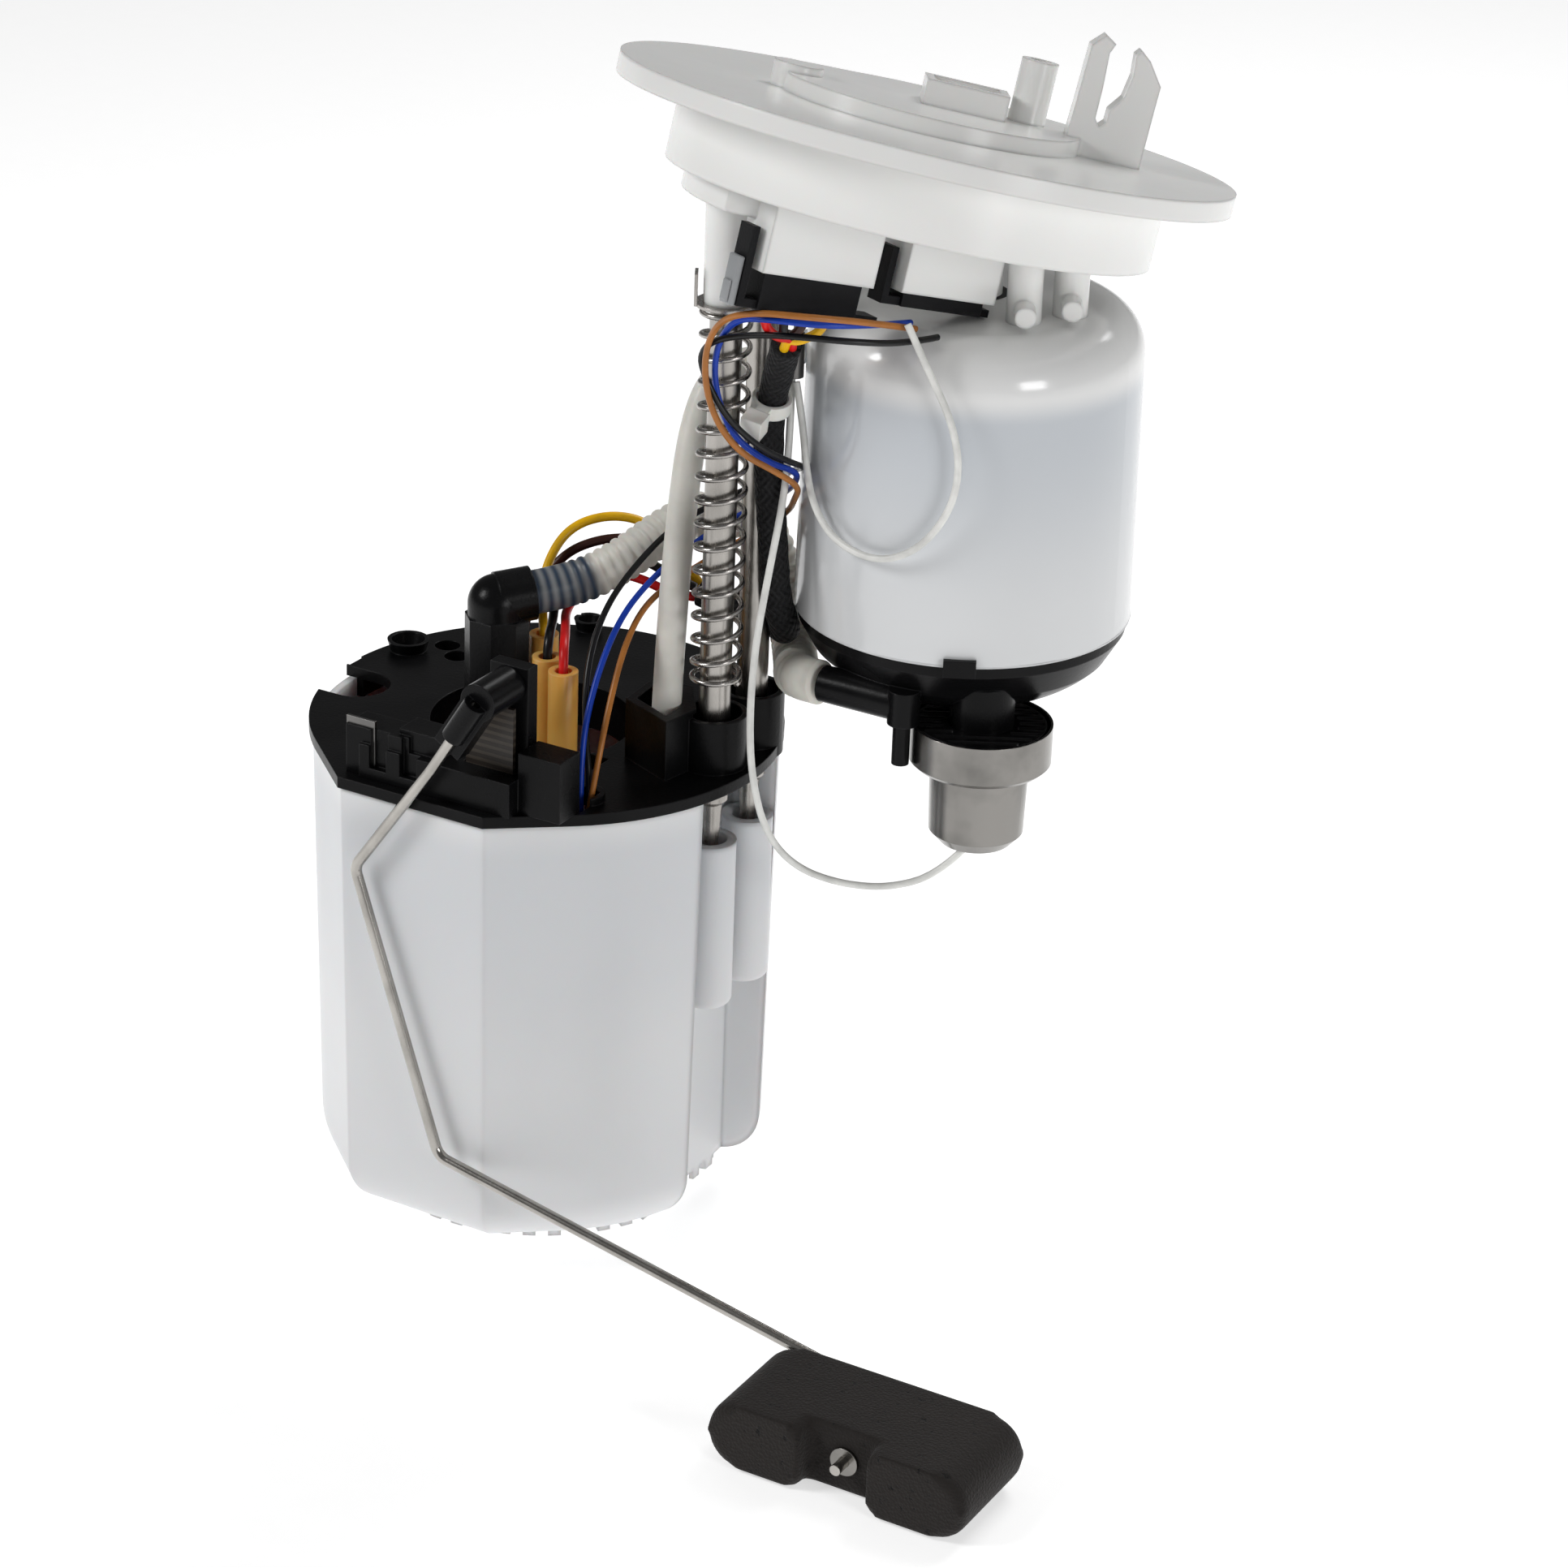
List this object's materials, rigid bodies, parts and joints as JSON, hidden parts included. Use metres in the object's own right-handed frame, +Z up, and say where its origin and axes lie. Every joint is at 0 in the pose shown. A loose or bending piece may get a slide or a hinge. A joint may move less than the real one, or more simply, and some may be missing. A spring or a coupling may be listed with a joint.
{
  "type": "fuel pump module",
  "caption": "In-tank fuel pump module: round tank flange, two sprung guide rods, hanging fuel filter, and a sliding reservoir with a pump, level sender and float arm.",
  "frame": {"origin": "centre of the flange's seat, on the axis of the collar that enters the tank", "axes": "+Z up along the guide rods, +X to the right along the level sender's side of the reservoir, -Y towards the float; the flange leans from +Z as the tank's top does"},
  "size_m": [0.2398, 0.2036, 0.3171],
  "materials": {
    "white_acetal": "smooth white acetal, slightly translucent",
    "frosted_tub": "frosted natural plastic, slightly translucent",
    "filter_shell": "smooth natural plastic, translucent enough to show the grey element",
    "black_plastic": "satin black moulding",
    "plug_black": "matte black moulding",
    "rod_steel": "ground steel bar",
    "spring_steel": "drawn steel wire",
    "can_steel": "deep-drawn stainless steel",
    "wire_steel": "bent steel wire",
    "filter_paper": "pleated grey filter paper",
    "seal_rubber": "matte rubber",
    "foam_black": "matte black nitrile foam",
    "sleeve_orange": "smooth amber plastic",
    "pipe_white": "natural nylon pipe",
    "hose_white": "natural corrugated nylon",
    "braid_black": "woven polyester sleeve",
    "tie_white": "natural nylon",
    "pump_steel": "zinc-plated steel",
    "armature_iron": "varnished laminations",
    "strainer_mesh": "woven nylon mesh",
    "card_ceramic": "glazed ceramic",
    "contact_metal": "tinned metal",
    "wire_yellow": "insulation",
    "wire_brown": "insulation",
    "wire_black": "insulation",
    "wire_red": "insulation",
    "wire_blue": "insulation",
    "wire_tan": "insulation",
    "wire_white": "insulation"
  },
  "bodies": {
    "tank_head": {"flange": "white_acetal", "pump_plug": "plug_black", "sender_plug": "plug_black", "guide_rod_front": "rod_steel", "guide_rod_rear": "rod_steel", "rod_clip": "contact_metal", "rod_spring": "spring_steel", "filter_housing": "filter_shell", "outlet_seal": "seal_rubber", "filter_element": "filter_paper", "filter_cap": "black_plastic", "regulator_can": "can_steel", "regulator_insert": "black_plastic", "ground_terminal": "contact_metal", "cable_tie": "tie_white", "ground_wire_a": "wire_white", "ground_wire_b": "wire_white"},
    "reservoir": {"reservoir_pot": "frosted_tub", "reservoir_cover": "black_plastic", "pump_holder": "black_plastic", "outlet_valve": "black_plastic", "pump_case": "pump_steel", "pump_top_cap": "black_plastic", "pump_foot_cap": "black_plastic", "suction_strainer": "strainer_mesh", "connector_sleeve_a": "sleeve_orange", "connector_sleeve_b": "sleeve_orange", "connector_sleeve_c": "sleeve_orange", "jet_pump": "black_plastic", "foot_valve": "seal_rubber", "sender_housing": "black_plastic", "sender_card": "card_ceramic", "sender_plate": "contact_metal", "corrugated_hose": "hose_white", "return_hose": "pipe_white", "braided_sleeve": "braid_black", "harness_yellow": "wire_yellow", "harness_brown": "wire_brown", "harness_black": "wire_black", "harness_red": "wire_red", "sender_wire_blue": "wire_blue", "sender_wire_brown": "wire_tan", "sender_wire_black": "wire_black"},
    "float_arm": {"arm_holder": "plug_black", "float_wire": "wire_steel", "float": "foam_black", "float_washer": "contact_metal"},
    "pump_rotor": {"pump_armature": "armature_iron", "pump_impeller": "plug_black"}
  },
  "joints": [
    {"name": "reservoir_slide", "type": "slide", "parent": "tank_head", "child": "reservoir", "axis": [0, 0, 1], "range_m": [0, 0.04], "deforming": ["rod_spring", "corrugated_hose", "return_hose", "braided_sleeve", "sender_wire_blue", "sender_wire_brown", "sender_wire_black"]},
    {"name": "float_pivot", "type": "hinge", "parent": "reservoir", "child": "float_arm", "pos_m": [-0.064, -0.085, -0.128], "axis": [0, -1, 0], "range_deg": [0, 75]},
    {"name": "pump_spin", "type": "hinge", "parent": "reservoir", "child": "pump_rotor", "pos_m": [-0.078, -0.044, -0.228], "axis": [0, 0, 1], "continuous": true}
  ]
}
